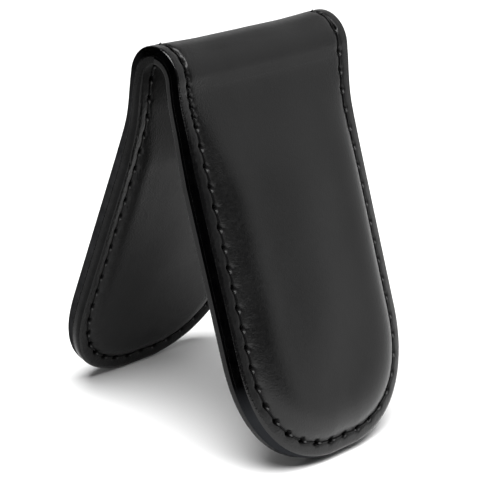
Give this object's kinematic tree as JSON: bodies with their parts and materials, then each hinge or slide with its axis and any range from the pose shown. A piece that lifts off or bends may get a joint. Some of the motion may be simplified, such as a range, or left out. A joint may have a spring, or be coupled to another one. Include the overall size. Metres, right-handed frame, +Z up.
{
  "type": "money clip",
  "caption": "Padded leather money clip whose stitched, round-ended leaves fold over banknotes and are held shut by hidden magnets.",
  "frame": {"origin": "on the surface that the tips stand on, midway between them and in the middle of the width", "axes": "+X along the fold, +Y towards the back leaf, +Z up from the tips to the fold"},
  "size_m": [0.0402, 0.0546, 0.0676],
  "materials": {
    "outer_leather": "smooth black calf leather, satin, with glossy painted cut edges",
    "lining_leather": "black leather, finely grained, a little duller than the outside",
    "thread": "black waxed polyester thread",
    "foam": "grey closed-cell foam sheet",
    "board": "brown stiffener board",
    "magnet": "nickel-plated disc magnet"
  },
  "bodies": {
    "fold": {"outer_leather_fold": "outer_leather", "lining_fold": "lining_leather"},
    "back_neck": {"outer_leather_neck_back": "outer_leather", "lining_neck_back": "lining_leather"},
    "front_neck": {"outer_leather_neck_front": "outer_leather", "lining_neck_front": "lining_leather"},
    "back_leaf": {"outer_leather_back": "outer_leather", "lining_back": "lining_leather", "foam_pad_back": "foam", "stiffener_board_back": "board", "magnet_back_left": "magnet", "magnet_back_right": "magnet", "needle_thread_back": "thread", "bobbin_thread_back": "thread"},
    "front_leaf": {"outer_leather_front": "outer_leather", "lining_front": "lining_leather", "foam_pad_front": "foam", "stiffener_board_front": "board", "magnet_front_left": "magnet", "magnet_front_right": "magnet", "needle_thread_front": "thread", "bobbin_thread_front": "thread"}
  },
  "joints": [
    {"name": "back_fold", "type": "hinge", "parent": "fold", "child": "back_neck", "pos_m": [0, 0.00158, 0.0663], "axis": [1, 0, 0], "range_deg": [-12, 69.6]},
    {"name": "front_fold", "type": "hinge", "parent": "fold", "child": "front_neck", "pos_m": [0, -0.00158, 0.0663], "axis": [-1, 0, 0], "range_deg": [-12, 69.6]},
    {"name": "back_bend", "type": "hinge", "parent": "back_neck", "child": "back_leaf", "pos_m": [0, 0.00533, 0.05656], "axis": [1, 0, 0], "range_deg": [-8.3, 6]},
    {"name": "front_bend", "type": "hinge", "parent": "front_neck", "child": "front_leaf", "pos_m": [0, -0.00533, 0.05656], "axis": [-1, 0, 0], "range_deg": [-8.3, 6]}
  ],
  "couplings": [
    {"joint": "front_fold", "follows": "back_fold", "ratio": 1},
    {"joint": "front_bend", "follows": "back_bend", "ratio": 1}
  ]
}
